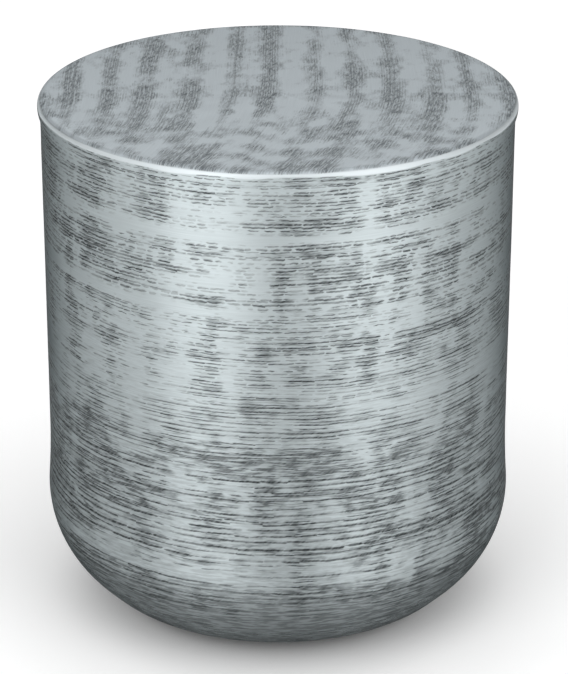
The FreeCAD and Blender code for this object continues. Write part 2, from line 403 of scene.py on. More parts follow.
def tarnish_round(turn, walk, height, seed):
    """How dark and dense the scoring is at each point of the wall and bowl, from 0 to 1.

    The sum of blotches, upright columns and narrow rings of noise, with more of it below the waist and less
    at the toe, set apart by clear rings where the lines were rubbed away in patches.
    """
    mix = 0.0
    for cells, high, step, weight in WALL_CLOUDS:
        mix = mix + weight * cloud(turn, walk, cells, high, seed + step)
    rubbed = 0.0 * height
    for number, (middle, half) in enumerate(CLEAR_RINGS):
        patchy = ramp(cloud(turn, walk, 6, 0.5, seed + 60 + number), 0.35, 0.75)
        rubbed = np.maximum(rubbed, bell(height, middle, half, 4) * patchy)
    contrast, mean, rubbed_off = 1.95, 0.52, 0.46
    more_below = 0.25 * ramp(height, 0.27, 0.19)
    dark_band = 0.10 * bell(height, 0.200, 0.016)
    pale_band = 0.15 * bell(height, 0.255, 0.035)
    less_at_toe = 0.45 * ramp(height, 0.085, 0.045)
    value = (mix - 0.5) * contrast + mean + more_below + dark_band - pale_band - rubbed_off * rubbed
    return np.clip(value - less_at_toe, 0.0, 1.0)


def buffed_highlight_band(turn, section, seed):
    """Where the band that was buffed clear of lines, and is lighter as a painted highlight, begins and ends
    along the section, round the rim.

    It begins near the middle of the rim's roll and ends at about its foot, both shifted by slow noise. The
    squared sine of twice the angle times that of the angle makes it widest on the diagonals, where the
    painted highlight stands in for the front lamps' highlights, and thin at the sides.
    """
    begin_at, begin_noise = 0.0049, 0.0006
    finish_at, widening, finish_noise = 0.0084, 0.0020, 0.0020
    flat = 0.0 * turn
    begin = section.rim_start + begin_at + begin_noise * (cloud(turn, flat, 29, 1.0, seed + 70) - 0.5)
    uneven = finish_noise * (cloud(turn, flat, 41, 1.0, seed + 71) - 0.5)
    wider = np.sin(2 * turn) ** 2 * np.sin(turn) ** 2
    finish = section.rim_start + finish_at + widening * wider + uneven
    return begin, finish


def skin(name, rings, loop, layers, uv):
    """A closed mesh of a grid of rings round the drum.

    rings is (rows, columns, 3). Columns always close round. Rows close into a loop, or else each end ring
    is closed by a pole at its middle. layers holds named values for each grid point, and uv a pair for each
    grid point, and those of the first column one turn on.
    """
    rows, columns = rings.shape[:2]
    count = rows if loop else rows - 1
    index = np.arange(rows * columns).reshape(rows, columns)
    nexts = np.roll(index, -1, axis=1)
    # After the last column comes the uv one turn on, so no face runs back across the map
    here, there = uv
    after = np.concatenate([here[:, 1:], there], axis=1)
    quads, corner = (
        np.stack([first, second, np.roll(second, -1, axis=0), np.roll(first, -1, axis=0)], axis=2)[:count]
        for first, second in ((index, nexts), (here, after)))
    points = rings.reshape(-1, 3)
    corners = quads.reshape(-1)
    corner = corner.reshape(-1, 2)
    starts = np.arange(len(corners) // 4) * 4
    if not loop:
        first = np.stack([np.full(columns, len(points)), nexts[0], index[0]], axis=-1)
        last = np.stack([np.full(columns, len(points) + 1), index[-1], nexts[-1]], axis=-1)
        tips = np.concatenate([first, last])
        starts = np.concatenate([starts, len(corners) + np.arange(len(tips)) * 3])
        corners = np.concatenate([corners, tips.reshape(-1)])
        points = with_poles(rings)
        corner = np.concatenate([corner, with_poles(here)[tips.reshape(-1)]])
    mesh = bpy.data.meshes.new(name)
    mesh.vertices.add(len(points))
    mesh.vertices.foreach_set("co", points.astype(np.float32).ravel())
    mesh.loops.add(len(corners))
    mesh.loops.foreach_set("vertex_index", corners.astype(np.int32))
    mesh.polygons.add(len(starts))
    mesh.polygons.foreach_set("loop_start", starts.astype(np.int32))
    mesh.update(calc_edges=True)
    mesh.validate()
    for key, values in layers.items():
        spread = values.reshape(rows * columns, -1) if loop else with_poles(values)
        kind, field = ("FLOAT_VECTOR", "vector") if spread.shape[1] == 3 else ("FLOAT", "value")
        layer = mesh.attributes.new(key, kind, "POINT")
        layer.data.foreach_set(field, spread.astype(np.float32).ravel())
    mesh.uv_layers.new(name="run").data.foreach_set("uv", corner.astype(np.float32).ravel())
    mesh.polygons.foreach_set("use_smooth", np.ones(len(starts), bool))
    sharp_degrees = 50
    mesh.set_sharp_from_angle(angle=math.radians(sharp_degrees))
    piece = bpy.data.objects.new(name, mesh)
    bpy.context.scene.collection.objects.link(piece)
    return piece


def with_poles(grid):
    """A grid's values as one list, with the means of its first and last rows added for the poles."""
    rows, columns = grid.shape[:2]
    values = grid.reshape(rows, columns, -1)
    ends = np.stack([values[0].mean(0), values[-1].mean(0)])
    return np.concatenate([values.reshape(rows * columns, -1), ends])


def round_place(angle, lines):
    """A point on the wall's circle at an angle, with the count of lines in place of its height."""
    x = WALL_RADIUS * np.cos(angle) + 0.0 * lines
    y = WALL_RADIUS * np.sin(angle) + 0.0 * lines
    return np.stack([x, y, lines], axis=-1)


def shell(section, sizes, scoring, start, end, capped=False, seam=False):
    """A sheet-metal skin of the drum between two walked lengths, scored outside and plain inside.

    Outside point: section(walk) turned by the column's angle, plus along the normal the slow wave and minus
    the groove, which is a rounded notch halfway between whole counts of scribed lines and deepens with the
    tarnish. Inside point: the inset section at coarser rows. Both make one closed sheet. A capped one covers
    the top, and one with a seam is the straight wall, with an upright groove at the back.
    """
    fade = 0.012  # length over which sway and wave die out at the sheet's edges, in metres
    unscored = 0.004  # half the length over which the lines set in below the rim
    sway_width, mean_wave, highest_wave = 0.0016, 0.75, 0.0002
    notch_half = 0.17  # in line spacings
    least_notch = 0.25  # share of its depth that a line keeps without tarnish
    seam_half, seam_depth = 0.0003, 0.0007
    inner_step = 0.016 if seam else 0.008  # wider rows do inside the straight wall
    inner_start = 0.002
    seed = scoring.seed
    # Rows go outwards and down, so columns go clockwise seen from above, for faces that point outwards
    turn = turns(sizes)[None, ::-1]
    rows = section.rows(max(start, section.rim_end), end)
    if capped:
        rows = np.concatenate([section.cap_rows(), rows[1:]])
    base = rows[:, None] + 0.0 * turn
    edge = ramp(base, end, end - fade)
    if not capped:
        edge = ramp(base, start, start + fade) * edge
    scored = ramp(base, section.rim_end - unscored, section.rim_end + unscored)
    walk = base + (cloud(turn, base, 23, 0.03, seed + 20) - 0.5) * sway_width * edge * scored
    line = np.interp(base, section.walk, section.line)
    radius, height, out_r, out_z = section.at(walk)
    dark = tarnish_round(turn, walk, height, seed)
    slow = cloud(turn, walk, 16, 0.055, seed + 30) + cloud(turn, walk, 41, 0.03, seed + 31) * 0.5
    notch = bell(np.mod(line, 1.0), 0.5, notch_half) * (least_notch + (1 - least_notch) * dark)
    relief = (slow - mean_wave) * scoring.wave * edge - notch * scoring.depth * scored
    relief = np.minimum(relief, highest_wave)
    if seam:
        gap = np.abs(np.mod(turn - SEAM_ANGLE + math.pi, FULL_TURN) - math.pi) * WALL_RADIUS
        relief = np.where(gap < seam_half, relief - seam_depth, relief)
    r = radius + out_r * relief
    outer = np.stack([r * np.cos(turn), r * np.sin(turn), height + out_z * relief], axis=-1)
    inner_count = max(int((end - start) / inner_step), 3)
    inner_rows = np.linspace(end, max(start, inner_start), inner_count)[:, None] + 0.0 * turn
    ri, zi, _, _ = section.at(inner_rows, inside=True)
    inner = np.stack([ri * np.cos(turn), ri * np.sin(turn), zi], axis=-1)
    rings = np.concatenate([outer, inner])
    full = np.concatenate([walk, inner_rows])
    lines = np.concatenate([line, np.interp(inner_rows, section.walk, section.line)])
    heights = rings[:, :, 2]
    begin, finish = buffed_highlight_band(turn, section, seed)
    below, above = 0.0008, 0.0004  # how far the foot of the buffed band fades
    # The slanted lay turns on by one line spacing for each line down, for the hatching
    lean = turn + lines * scoring.pitch_low / WALL_RADIUS
    layers = {
        "lay": round_place(turn, lines),
        "slant": round_place(lean, lines),
        "tarnish": tarnish_round(turn, full, heights, seed),
        # The buffed band on the rim, clear of lines and lighter, partly a painted highlight
        "polish": ramp(full, begin, begin + BAND_EDGE) * ramp(full, finish + below, finish - above),
        # Painted shade, darker towards the base, where the light scratches also lie
        "patina": np.interp(heights, SHADE_HEIGHTS, SHADE_SHARES),
    }
    around = np.broadcast_to(turn * WALL_RADIUS, full.shape)
    here = np.stack([full, around], axis=-1)
    there = np.stack([full[:, :1], around[:, :1] - FULL_TURN * WALL_RADIUS], axis=-1)
    return rings, not capped, layers, (here, there)


def new_material(name):
    """An empty node material, and the function that adds a node to it."""
    material = bpy.data.materials.new(name)
    material.use_nodes = True
    tree = material.node_tree
    tree.nodes.clear()

    def put(kind, *values, links=None, **settings):
        """Adds a node with its settings, and fills sockets, by order or key, with values or outputs."""
        node = tree.nodes.new("ShaderNode" + kind)
        for key, value in settings.items():
            setattr(node, key, value)
        for key, value in [*enumerate(values), *(links or {}).items()]:
            if isinstance(value, bpy.types.Node):
                value = value.outputs[0]
            if isinstance(value, bpy.types.NodeSocket):
                tree.links.new(value, node.inputs[key])
            else:
                node.inputs[key].default_value = value
        return node

    return material, put


def scored_aluminium(name, bright, etched, buffed_highlight_colour, look, brushed, round_lines=None):
    """Aluminium, scribed by hand, darkened and rubbed back.

    The eye sees rows of short tapering dark dashes that swell, waver, stack in columns and run together in
    streaked smudges, on satin metal, with painted shade that darkens it towards the base and light scratches
    in that shade. round_lines holds the line counts between which the dashes round the drum go from those of
    the upper wall to those of the lower.
    """
    material, put = new_material(name)
    lay, slant = (put("Attribute", attribute_name=key).outputs["Vector"] for key in ("lay", "slant"))
    tarnish, polish, patina = (
        put("Attribute", attribute_name=key).outputs["Fac"] for key in ("tarnish", "polish", "patina"))
    clear = put("Math", 1.0, polish, operation="SUBTRACT")
    x, y, count = put("SeparateXYZ", lay).outputs
    number = put("Math", count, operation="FLOOR")
    phase = put("Math", count, operation="FRACT")
    own = put("TexWhiteNoise", links={"W": number}, noise_dimensions="1D").outputs["Color"]
    own = put("SeparateColor", own).outputs

    def by_line(first, last):
        """A value that goes from first to last down the drum, and is the first on the top."""
        return put("MapRange", number, *round_lines, first, last) if round_lines else first

    # Noises in the lay: place, cells per metre and per line, shift, detail and roughness. Drift has cells
    # of 60 mm and 12 lines, hatching is 2.5 mm apart, and brushing is 42 mm long and 4.5 to a line. Real
    # brushing is finer, and is drawn as coarse as it needs to show. Ragged noise, 8 mm long above and 16 mm
    # below, and stretches, 110 mm long, are each line's own.
    lane = put("CombineXYZ", links={2: put("Math", number, 7.77, operation="MULTIPLY")})
    rate = by_line(120.0, 64.0)
    still = (0.0, 0.0, 0.0)
    noise = {}
    for key, place, cells, shift, detail, rough in (
            ("drift", lay, (17.0, 17.0, 0.085), still, 2.0, 0.5),
            ("ragged", lay, put("CombineXYZ", rate, rate), lane, 3.0, 0.62),
            ("stretch", lay, (9.0, 9.0, 0.0), lane, 1.0, 0.5),
            ("hatch", slant, (400.0, 400.0, 0.7), still, 2.0, 0.5),
            ("grime", lay if round_lines else slant, look["blots"], still, 3.0, 0.6),
            ("streak", lay, look["streaks"], still, 2.0, 0.6),
            ("brush", lay, (24.0, 24.0, 4.5), still, 3.0, 0.6)):
        place = put("VectorMath", place, cells, shift, operation="MULTIPLY_ADD")
        noise[key] = put("TexNoise", links={
            "Vector": place, "Scale": 1.0, "Detail": detail, "Roughness": rough})
    # Dash count along the line: a whole number of dashes to a turn, so that it closes
    if round_lines:
        share = by_line(*(FULL_TURN * WALL_RADIUS / length for length in look["dash"]))
        uneven = put("MapRange", own[2], 0.0, 1.0, 0.80, 1.25)
        share = put("Math", share, uneven, operation="MULTIPLY")
        share = put("Math", share, operation="ROUND")
        run = put("Math", y, x, operation="ARCTAN2")
        for factor in (1 / FULL_TURN, share):
            run = put("Math", run, factor, operation="MULTIPLY")
    else:
        run = put("Math", x, 1 / look["dash"][0], operation="MULTIPLY")
    # Stacked lines share a slow drift of their dashes, and each line has a small one of its own
    for source, dashes in ((noise["drift"], 3.6), (own[2], 0.28)):
        run = put("Math", source, dashes, run, operation="MULTIPLY_ADD")
    along = put("Math", run, operation="FRACT")
    dash = put("Math", run, operation="FLOOR")
    if round_lines:
        dash = put("Math", dash, share, operation="FLOORED_MODULO")
    each = put("TexWhiteNoise", put("CombineXYZ", dash, number), noise_dimensions="2D").outputs["Color"]
    each = put("SeparateColor", each).outputs
    # A dash is a half sine along its length, less a gap that closes as the tarnish thickens. Ragged noise
    # breaks its even shape, and stretches of a line are lifted or dropped
    keep = -2.30
    for source, weight in ((tarnish, 1.15), (own[1], 0.60), (each[0], 0.55), (noise["stretch"], 1.3),
                           (noise["ragged"], 1.9)):
        keep = put("Math", source, weight, keep, operation="MULTIPLY_ADD")
    arch = put("Math", along, math.pi, operation="MULTIPLY")
    arch = put("Math", arch, operation="SINE")
    arch = put("Math", arch, -0.62, operation="ADD")
    strength = put("Math", arch, by_line(0.80, 0.60), keep, operation="MULTIPLY_ADD")
    strength = put("Math", strength, clear, operation="MULTIPLY")
    # Across the line its middle is off by the line, by the dash and by its tilt, and the scriber trembled
    shift = put("MapRange", own[0], 0.0, 1.0, 0.18, 0.82)
    wander = put("MapRange", each[1], 0.0, 1.0, -0.10, 0.10)
    tilt = put("MapRange", each[2], 0.0, 1.0, -0.16, 0.16)
    tremble = put("MapRange", noise["ragged"], 0.25, 0.75, -0.5, 0.5)
    middle = put("Math", shift, wander, operation="ADD")
    across = put("Math", along, -0.5, operation="ADD")
    for source, weight in ((across, tilt), (tremble, by_line(0.48, 0.20))):
        middle = put("Math", source, weight, middle, operation="MULTIPLY_ADD")
    off = put("Math", phase, middle, operation="SUBTRACT")
    far = put("Math", off, operation="ABSOLUTE")
    full_strength = 0.42
    half = put("MapRange", strength, 0.0, full_strength, 0.0, by_line(*look["half"]))
    thick = put("MapRange", own[1], 0.0, 1.0, 0.55, 1.35)
    half = put("Math", half, thick, operation="MULTIPLY")
    inside = put("Math", half, far, operation="SUBTRACT")
    stroke = put("MapRange", inside, -0.02, 0.05, 0.0, 1.0)
    # The slanted hatching is dragged out on one side of each stroke
    hatch_least, drag_halves, drag_ink = 0.15, 3.8, 0.55
    hatch = put("MapRange", noise["hatch"], 0.36, 0.64, hatch_least, 1.0)
    reach = put("Math", half, drag_halves, operation="MULTIPLY")
    drag = put("Math", off, reach, operation="ADD")
    drag = put("Math", drag, reach, operation="DIVIDE", use_clamp=True)
    one_side = put("Math", off, 0.0, operation="LESS_THAN")
    for factor in (one_side, hatch, drag_ink):
        drag = put("Math", drag, factor, operation="MULTIPLY")
    stroke = put("Math", stroke, drag, operation="MAXIMUM")
    depth = put("Math", tarnish, 1.70, -0.42, operation="MULTIPLY_ADD")
    depth = put("Math", each[1], 0.42, depth, operation="MULTIPLY_ADD", use_clamp=True)
    depth = put("Math", depth, look["ink"], operation="MULTIPLY")
    ticks = put("MapRange", hatch, hatch_least, 1.0, 0.62, 1.0)
    for factor in (depth, ticks):
        stroke = put("Math", stroke, factor, operation="MULTIPLY")
    # Smudges over the densest patches are made of fine broken streaks, crossed by the hatching
    smudge = -0.55 - look["smudge_from"]
    for source, weight in ((noise["grime"], 1.1), (tarnish, 1.0)):
        smudge = put("Math", source, weight, smudge, operation="MULTIPLY_ADD")
    smudge = put("MapRange", smudge, 0.0, look["smudge_over"], 0.0, look["smudge"])
    streak = put("MapRange", noise["streak"], 0.44, 0.56, look["streaked"], 1.0)
    rub = put("MapRange", hatch, hatch_least, 1.0, look["hatched"], 1.0)
    for factor in (rub, streak, clear):
        smudge = put("Math", smudge, factor, operation="MULTIPLY")
    dark = put("Math", stroke, smudge, operation="MAXIMUM")
    # Fine brushing between the lines, and towards the base painted shade with light scratches in it
    brush_range, shaded_tone = (0.3, 0.7), 0.20
    tone = put("MapRange", noise["brush"], *brush_range, 0.94, 1.02)
    scratch = put("MapRange", streak, 0.25, 1.0, 0.55, -0.12)
    scratch = put("Math", scratch, patina, operation="MULTIPLY")
    tone = put("Math", tone, scratch, operation="ADD")
    # Painted shade: the metal's tone falls towards the base
    under_shade = put("MapRange", patina, 0.0, 1.0, 1.0, shaded_tone)
    tone = put("Math", tone, under_shade, operation="MULTIPLY")
    base = put("VectorMath", tuple(bright), links={"Scale": tone}, operation="SCALE")
    # Over the buffed band the lighter colour is partly a painted highlight
    for share, over in ((dark, etched), (polish, buffed_highlight_colour)):
        base = put("Mix", share, links={6: base, 7: (*over, 1.0)}, data_type="RGBA").outputs[2]
    # The buffed band's low metallic adds a light diffuse part to the painted highlight
    line_rough, rim_rough, rim_metal = 0.62, 0.46, 0.4
    rough = put("MapRange", dark, 0.0, 1.0, look["roughness"], line_rough)
    brushing = put("MapRange", noise["brush"], *brush_range, 0.05, -0.03)
    rough = put("Math", rough, brushing, operation="ADD")
    bump = put("Math", dark, -1.0, operation="MULTIPLY")
    bump = put("Math", noise["brush"], 0.35, bump, operation="MULTIPLY_ADD")
    bump = put("Math", bump, clear, operation="MULTIPLY")
    shader = put("BsdfPrincipled", links={
        "Base Color": base,
        "Metallic": put("Mix", polish, links={2: look["metallic"], 3: rim_metal}),
        "Roughness": put("Mix", polish, links={2: rough, 3: rim_rough}),
        "Anisotropic": brushed,
        # At a slant the rubbed metal loses light and the etched lines lose less, so they stand out less
        "Specular Tint": put("MapRange", dark, 0.0, 1.0, 0.02, 0.70),
        "Normal": put("Bump", links={"Strength": 0.5, "Distance": 0.00025, "Height": bump}),
        "Tangent": put("Tangent", direction_type="UV_MAP", uv_map="run"),
    })
    put("OutputMaterial", shader)
    return material


def plain_finish(name, colour, metallic, roughness, grain, size, depth):
    """A plain finish with one cloudy grain: colour, roughness and bump follow noise of a real grain size.

    grain is the share by which the colour changes, and size and depth are the grain's, in metres.
    """
    material, put = new_material(name)
    where = put("TexCoord").outputs["Object"]
    noise = put("TexNoise", links={"Vector": where, "Scale": 1 / size, "Detail": 4.0, "Roughness": 0.6})
    most = (0.25, 0.75)  # range that holds most of the noise
    tone = put("MapRange", noise, *most, 1 - grain, 1 + grain)
    shader = put("BsdfPrincipled", links={
        "Base Color": put("VectorMath", tuple(colour), links={"Scale": tone}, operation="SCALE"),
        "Metallic": metallic,
        "Roughness": put("MapRange", noise, *most, roughness + 0.08, roughness - 0.06),
        "Normal": put("Bump", links={"Strength": 0.6, "Distance": depth, "Height": noise}),
    })
    put("OutputMaterial", shader)
    return material


def wall_finish(name, section, finish, brushed):
    """The wall's scored aluminium, brushed more or less."""
    lines = tuple(np.interp(LONGER_DASHES, section.out[::-1, 1], section.line[::-1]))
    return scored_aluminium(name, finish.bright, finish.etched, finish.buffed_highlight_colour, WALL_LOOK, brushed, lines)


def place_skin(context, name, node, start, end, **form):
    """Builds one of the drum's three skins between two places of its section, in place of its CAD node."""
    sizes, scoring = context.scene.drum_sizes, context.scene.drum_scoring
    section = Section(sizes, scoring)
    ends = getattr(section, start), getattr(section, end)
    piece = skin(name, *shell(section, sizes, scoring, *ends, **form))
    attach(piece, "drum")
    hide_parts(node)
    wall = bpy.data.materials.get("scored_aluminium_wall")
    if wall is None:
        wall = wall_finish("scored_aluminium_wall", section, context.scene.drum_finish, BRUSHED)
    piece.data.materials.append(wall)
    return piece, section


class DRUM_OT_side_wall(Operator):
    """Rolled and scored side wall with its upright seam at the back"""

    bl_idname = "drum.side_wall"
    bl_label = "Side Wall"

    def execute(self, context):
        place_skin(context, "wall_skin", "side_wall", "cap_end", "bowl_start", seam=True)
        return {"FINISHED"}


class DRUM_OT_base_bowl(Operator):
    """Spun and scored bowl with its shoulder, toe and base ring"""

    bl_idname = "drum.base_bowl"
    bl_label = "Base Bowl"

    def execute(self, context):
        place_skin(context, "bowl_skin", "base_bowl", "bowl_start", "base_end")
        return {"FINISHED"}


class DRUM_OT_top_plate(Operator):
    """Spun cap with the flat top, the buffed rolled rim with a painted highlight and a short skirt"""

    bl_idname = "drum.top_plate"
    bl_label = "Top Plate"

    def execute(self, context):
        piece, section = place_skin(context, "cap_skin", "top_plate", "middle", "cap_end", capped=True)
        finish = context.scene.drum_finish
        colours = finish.top_bright, finish.top_etched, finish.buffed_highlight_colour
        top = scored_aluminium("scored_aluminium_top", *colours, TOP_LOOK, BRUSHED)
        piece.data.materials.append(top)
        # The eye sees a bright satin ring: the wall's metal, buffed clear of lines and hardly brushed, its
        # lighter colour partly a painted highlight
        piece.data.materials.append(wall_finish("polished_aluminium_rim", section, finish, RIM_BRUSHED))
        paint_top(piece.data, section, context.scene.drum_scoring)
        return {"FINISHED"}


def read(items, field, wide, kind=np.float32):
    """A field of all items of a mesh, one row to each item."""
    values = np.empty(len(items) * wide, kind)
    items.foreach_get(field, values)
    return values.reshape(-1, wide)


def on_flat(section, reach, height, limits):
    """True on the flat of the top and down and out to the limits on the rim's roll."""
    return (height > TABLE_HEIGHT - limits[0]) & (reach < section.rim_start + limits[1])


def paint_top(mesh, section, scoring):
    """Gives the flat of the top its own stroke layout: strokes run from front to back, in blotchy columns.

    Across the strokes the count of lines is x over the stroke spacing, along them the place is y, and the
    square of the way to the front bends strokes and columns to the left. Columns 34 mm apart are a raised
    cosine of x to the power of 1.5, broken by noise, and give way to rows towards the front. The strokes run
    up to the buffed band on the rim.
    """
    x, y, z = read(mesh.vertices, "co", 3).T.astype(float)
    reach = np.hypot(x, y)
    roll = RIM_RADIUS - section.rim_start
    start_x, start_y = 1.0, 0.3  # added so that noise is read at places above 0
    sway_width, stroke_bend, column_bend = 0.010, 1.1, 0.5
    sway = (cloud((y + start_y) * 5.0, x + start_x, 7, 0.09, scoring.seed + 50) - 0.5) * sway_width
    front = np.clip(-y, 0, None) ** 2
    across = x + sway + stroke_bend * front
    place = x + sway + column_bend * front

    def patch(cells, wide, step):
        """Noise on the flat, with cells of a width in metres and as long as 0.9 m over their count."""
        return cloud((y + start_y) * 7.0, place + start_x, cells, wide, scoring.seed + step)

    column_pitch, column_start, column_wander = 0.034, 0.004, 2.6
    row_pitch, row_bend, row_wave = 0.029, 0.011, 0.019
    wander = (cloud(0.0 * y, place + start_x, 3, 0.047, scoring.seed + 55) - 0.5) * column_wander
    column = 0.5 + 0.5 * np.cos(FULL_TURN * (place + column_start) / column_pitch + wander)
    near = ramp(y, -0.03, -0.11)
    row = 0.5 + 0.5 * np.cos(FULL_TURN * (y + row_bend * np.sin(place / row_wave)) / row_pitch)
    column = column ** 1.5
    # Towards the front the columns fade to an even tone, and rows come in
    even_tone, fade, row_weight, row_mean = 0.45, 0.6, 0.15, 0.3
    column = column + (even_tone - column) * fade * near
    held = patch(13, 0.034, 56)
    mix = column * (0.25 + 0.30 * held) + 0.18 * held
    for cells, wide, step, weight in TOP_CLOUDS:
        mix = mix + weight * patch(cells, wide, step)
    mix = mix + row_weight * near * (row - row_mean)
    contrast, middle, mean = 1.70, 0.60, 0.42
    dark = (mix - middle) * contrast + mean
    # Beside the rim the strokes were left standing in places
    turn = np.arctan2(y, x)
    standing = ramp(cloud(turn, reach, 19, 0.3, scoring.seed + 57), 0.30, 0.55)
    standing_weight, standing_half = 0.32, 0.007
    dark = dark + standing_weight * standing * bell(reach, section.rim_start, standing_half)
    begin, _ = buffed_highlight_band(turn, section, scoring.seed)
    walked = section.rim_start + roll * np.arcsin(np.clip((reach - section.rim_start) / roll, 0.0, 1.0))
    slant_lean, slant_pitch = 0.3, 0.006
    values = {
        "lay": np.stack([y, 0 * y, across / scoring.pitch_top], axis=-1),
        "slant": np.stack([across - slant_lean * y, 0 * y, y / slant_pitch], axis=-1),
        "tarnish": np.clip(dark, 0, 1) * ramp(walked, begin + TARNISH_EDGE, begin),
        "polish": ramp(walked, begin, begin + BAND_EDGE),
        "patina": 0 * x,
    }
    flat_points = on_flat(section, reach, z, TOP_POINTS)[:, None]
    for key, value in values.items():
        data = mesh.attributes[key].data
        value = value.reshape(len(x), -1)
        field = "vector" if value.shape[1] == 3 else "value"
        both = np.where(flat_points, value, read(data, field, value.shape[1]))
        data.foreach_set(field, both.astype(np.float32).ravel())

    # The rim's own material lies on the faces in the middle of the buffed band, by the roll's angle there
    centre = read(mesh.polygons, "center", 3)
    face_reach = np.hypot(centre[:, 0], centre[:, 1])
    out = face_reach - section.rim_start
    rise = centre[:, 2] - (TABLE_HEIGHT - roll)
    arc = roll * np.arctan2(out, rise)
    skin_depth = 0.0007  # leaves out the faces inside the sheet
    outside = np.hypot(out, rise) > roll - skin_depth
    on_rim = (arc > RIM_FACES[0]) & (arc < RIM_FACES[1]) & outside
    on_top = on_flat(section, face_reach, centre[:, 2], TOP_FACES) & ~on_rim
    mesh.polygons.foreach_set("material_index", np.where(on_rim, 2, on_top).astype(np.int32))
    # On the flat the map's run is x, so that the satin spreads light across the strokes
    loops = read(mesh.loops, "vertex_index", 1, np.int32)[:, 0]
    starts = read(mesh.polygons, "loop_start", 1, np.int32)[:, 0]
    flat = np.repeat(on_top, np.diff(np.append(starts, len(loops))))
    uv = read(mesh.uv_layers["run"].data, "uv", 2)
    uv[flat] = np.stack([x[loops], y[loops]], axis=-1)[flat]
    mesh.uv_layers["run"].data.foreach_set("uv", uv.ravel())
    mesh.update()


def columns_round(columns):
    """Even angles of a turned piece's columns."""
    return np.arange(columns) * FULL_TURN / columns


def lathe(name, centre, radius, height, columns, body, node, material):
    """A turned piece: each row's radius, which may change round the turn, swept about an upright axis.

    Rows go from the bottom up round the outside, so faces point outwards.
    """
    turn = columns_round(columns)
    radius, height = (grid if grid.ndim == 2 else grid[:, None] + 0.0 * turn for grid in (radius, height))
    x = centre[0] + radius * np.cos(turn)
    y = centre[1] + radius * np.sin(turn)
    rows = np.linspace(0, 1, len(x))[:, None]
    here = np.stack([rows + 0 * turn, turn / FULL_TURN + 0 * rows], axis=-1)
    there = np.stack([rows, np.ones_like(rows)], axis=-1)
    piece = skin(name, np.stack([x, y, height], axis=-1), False, {}, (here, there))
    piece.data.materials.append(material)
    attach(piece, body)
    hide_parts(node)
    return piece


def eased(points, ease, steps=4):
    """A section through corner points with each inner corner cut by a parabola of the given reach."""
    points = np.asarray(points, float)
    most = 0.45  # share of a side that a corner may take
    before, here, after = points[:-2], points[1:-1], points[2:]
    back = before - here
    on = after - here
    back_len = np.linalg.norm(back, axis=1, keepdims=True)
    on_len = np.linalg.norm(on, axis=1, keepdims=True)
    first = here + back / back_len * np.minimum(ease, back_len * most)
    last = here + on / on_len * np.minimum(ease, on_len * most)
    t = np.linspace(0, 1, steps)[None, :, None]
    bend = first[:, None] * (1 - t) ** 2 + here[:, None] * 2 * t * (1 - t) + last[:, None] * t ** 2
    return np.concatenate([points[:1], bend.reshape(-1, 2), points[-1:]])


def threaded_stem(low, high, columns):
    """Radius grid and heights of a stem from its head up, in metres.

    Head and neck are plain turned steps. The collar is a hexagon, radius half the flats over the cosine
    within each sixth of a turn, cut by a 30 degree chamfer at both ends. Above it the thread's radius is a
    triangle wave of height / pitch - turn with flattened ends, which makes a right-hand helix.
    """
    turn = columns_round(columns)
    middle, head_radius, head_high, neck, ease = 0.0008, 0.005, 0.0021, 0.003, 0.0004
    collar_low, collar_high, half_flats, chamfer_from = 0.0050, 0.0090, 0.0065, 0.0062
    pitch, major, thread, rows_per_pitch, shank_foot = 0.00125, 0.004, 0.00062, 8, 0.0036
    tip_long, tip_radius, tip_end = 0.0012, 0.0030, 0.0026
    head = eased([(middle, low), (head_radius, low), (head_radius, low + head_high),
                  (neck, low + head_high), (neck, collar_low)], ease)
    plain = head[:, :1] + 0.0 * turn
    sixth = np.mod(turn + math.pi / 6, math.pi / 3) - math.pi / 6
    hexagon = half_flats / np.cos(sixth)
    rise = np.array([0.0, 0.0, 0.0003, 0.0006, 0.0012, 0.0028, 0.0034, 0.0037, 0.0040, 0.0040])
    end = np.minimum(rise, collar_high - collar_low - rise)
    cone = chamfer_from + end / math.tan(math.radians(30))
    collar = np.minimum(hexagon[None, :], cone[:, None])
    collar[0] = neck + 0.0001
    collar[-1] = shank_foot
    rows = np.arange(collar_high + 0.00002, high - 0.0004, pitch / rows_per_pitch)
    wave = np.abs(2 * np.mod(rows[:, None] / pitch - turn / FULL_TURN, 1.0) - 1)
    depth = thread * np.clip(1.25 * wave - 0.125, 0.0, 1.0)
    tip = np.clip((high - rows[:, None]) / tip_long, 0.0, 1.0)
    shank = np.minimum(major - depth, tip_radius + (major - tip_radius) * tip)
    last = np.array([[tip_end], [middle]]) + 0.0 * turn
    radius = np.concatenate([plain, collar, shank, last])
    height = np.concatenate([head[:, 1], collar_low + rise, rows, [high, high]])
    return radius, height


def box_middle(low, high):
    """Where the upright axis of a box stands."""
    return ((low.x + high.x) / 2, (low.y + high.y) / 2)


class DRUM_OT_glide_stems(Operator):
    """Turned stems with a rolled thread, a hexagon collar and a swivel head"""

    bl_idname = "drum.glide_stems"
    bl_label = "Glide Stems"

    def execute(self, context):
        # The eye sees pale plated steel, with a fine haze from turning
        zinc = plain_finish("zinc_plated_steel_turned", linear("b7b9b8"), 1.0, 0.30, 0.10, 0.002, 0.00002)
        columns = 60
        for number in GLIDES:
            low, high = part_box("glide_stem_" + number)
            radius, height = threaded_stem(low.z, high.z, columns)
            lathe("stem_" + number, box_middle(low, high), radius, height, columns, "stem_" + number,
                  "glide_stem_" + number, zinc)
        return {"FINISHED"}


